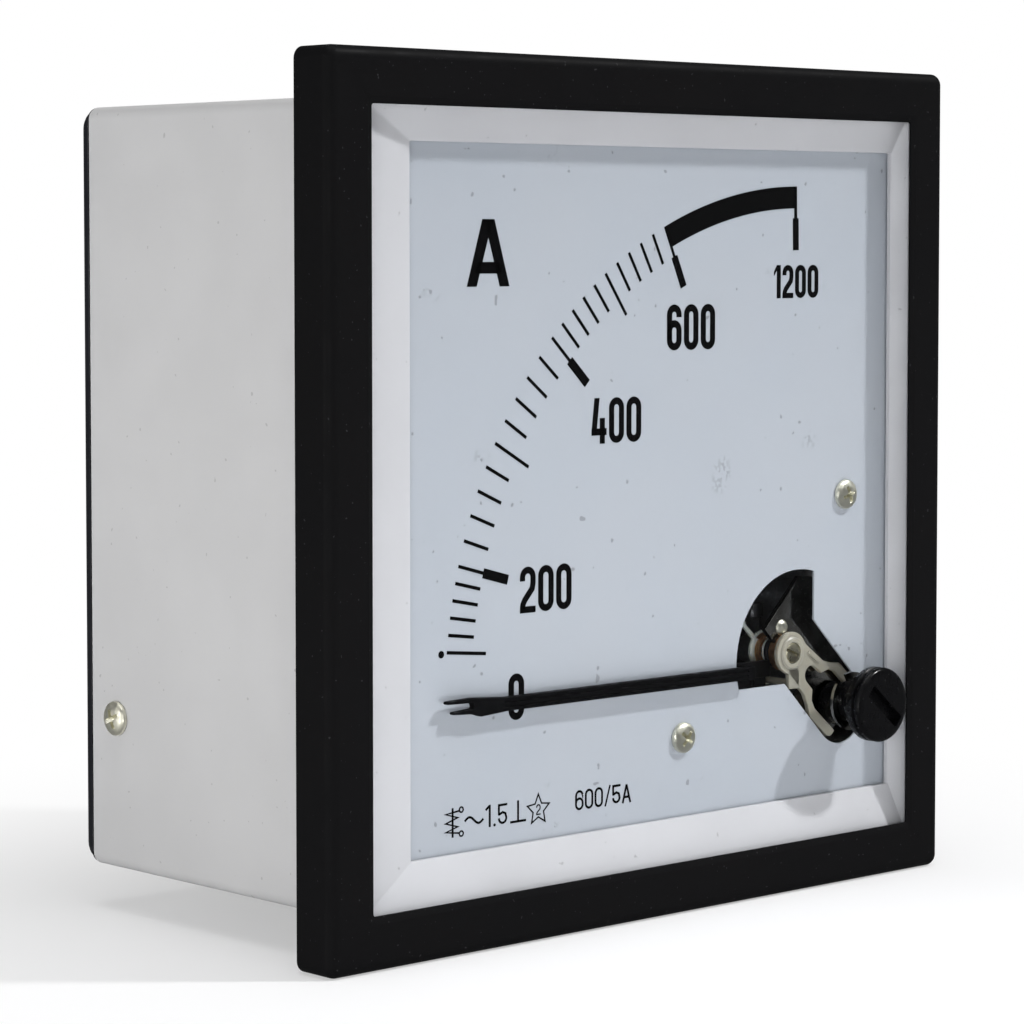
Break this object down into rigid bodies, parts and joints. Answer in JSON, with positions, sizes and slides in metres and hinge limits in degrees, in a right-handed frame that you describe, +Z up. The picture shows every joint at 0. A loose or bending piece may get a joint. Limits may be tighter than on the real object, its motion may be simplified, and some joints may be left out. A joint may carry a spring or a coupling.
{
  "type": "analog dial electric meter",
  "caption": "Square panel meter with a window, a printed 90 degree ammeter scale, a swinging pointer with its moving-iron movement, a zero adjuster and rear stud terminals.",
  "frame": {"origin": "centre of the plane at which the rear of the bezel seats on the panel", "axes": "+X to the right of someone facing the dial, +Y from the dial towards the rear terminals, +Z up"},
  "size_m": [0.096, 0.0671, 0.096],
  "materials": {
    "black_plastic": "satin",
    "clear_acrylic": "gloss",
    "white_plastic": "satin",
    "zinc_plate": "satin",
    "dial_paint": "matte",
    "pointer_black": "satin",
    "foot_grey": "satin",
    "polished_steel": "polished",
    "milky_plastic": "satin",
    "brass": "satin",
    "soft_iron": "satin",
    "bronze": "satin",
    "cream_plastic": "satin",
    "gloss_black": "gloss",
    "die_cast": "matte",
    "bobbin_plastic": "matte",
    "copper": "satin"
  },
  "bodies": {
    "case": {"bezel_frame": "black_plastic", "window_pane": "clear_acrylic", "case_body": "white_plastic", "rear_cover": "black_plastic", "cover_screw_left": "zinc_plate", "cover_screw_right": "zinc_plate", "dial_surround": "white_plastic", "dial_plate": "dial_paint", "dial_screw_upper": "zinc_plate", "dial_screw_lower": "zinc_plate", "front_bridge": "polished_steel", "front_jewel_screw": "brass", "bridge_screw_lower": "polished_steel", "bridge_screw_upper": "polished_steel", "movement_chassis": "die_cast", "chassis_screw_upper": "zinc_plate", "chassis_screw_lower": "zinc_plate", "stop_pin_low": "polished_steel", "stop_pin_high": "polished_steel", "coil_bobbin": "bobbin_plastic", "coil_winding": "copper", "fixed_iron_vane": "soft_iron", "rear_bridge": "polished_steel", "rear_jewel_screw": "brass", "rear_bridge_screw_upper": "polished_steel", "rear_bridge_screw_lower": "polished_steel", "lead_strap_left": "copper", "lead_strap_right": "copper", "terminal_stud_left": "brass", "terminal_stud_right": "brass", "terminal_washer_left": "brass", "terminal_washer_right": "brass", "terminal_nut_left": "brass", "terminal_nut_right": "brass"},
    "pointer_assembly": {"pointer": "pointer_black", "pointer_foot": "foot_grey", "spindle": "polished_steel", "spindle_collar": "milky_plastic", "balance_cross": "foot_grey", "balance_weight_long": "brass", "balance_weight_short": "brass", "moving_iron_vane": "soft_iron"},
    "zero_knob": {"zero_adjuster": "gloss_black", "adjuster_cam": "gloss_black", "adjuster_clip": "polished_steel"},
    "zero_fork": {"zero_lever": "cream_plastic", "spring_anchor": "milky_plastic", "hairspring": "bronze"}
  },
  "joints": [
    {"name": "pointer_swing", "type": "hinge", "parent": "case", "child": "pointer_assembly", "pos_m": [0.0268, 0, -0.0207], "axis": [0, 1, 0], "range_deg": [0, 93.5], "stiffness_Nm_per_rad": 0.00006, "springref_deg": -2.86},
    {"name": "zero_turn", "type": "hinge", "parent": "case", "child": "zero_knob", "pos_m": [0.03395, 0, -0.02675], "axis": [0, 1, 0], "range_deg": [-45, 45]},
    {"name": "zero_lever_turn", "type": "hinge", "parent": "case", "child": "zero_fork", "pos_m": [0.0268, 0, -0.0207], "axis": [0, 1, 0], "range_deg": [-4.5, 4.5]}
  ],
  "couplings": [
    {"joint": "zero_lever_turn", "follows": "zero_turn", "ratio": 0.092}
  ]
}
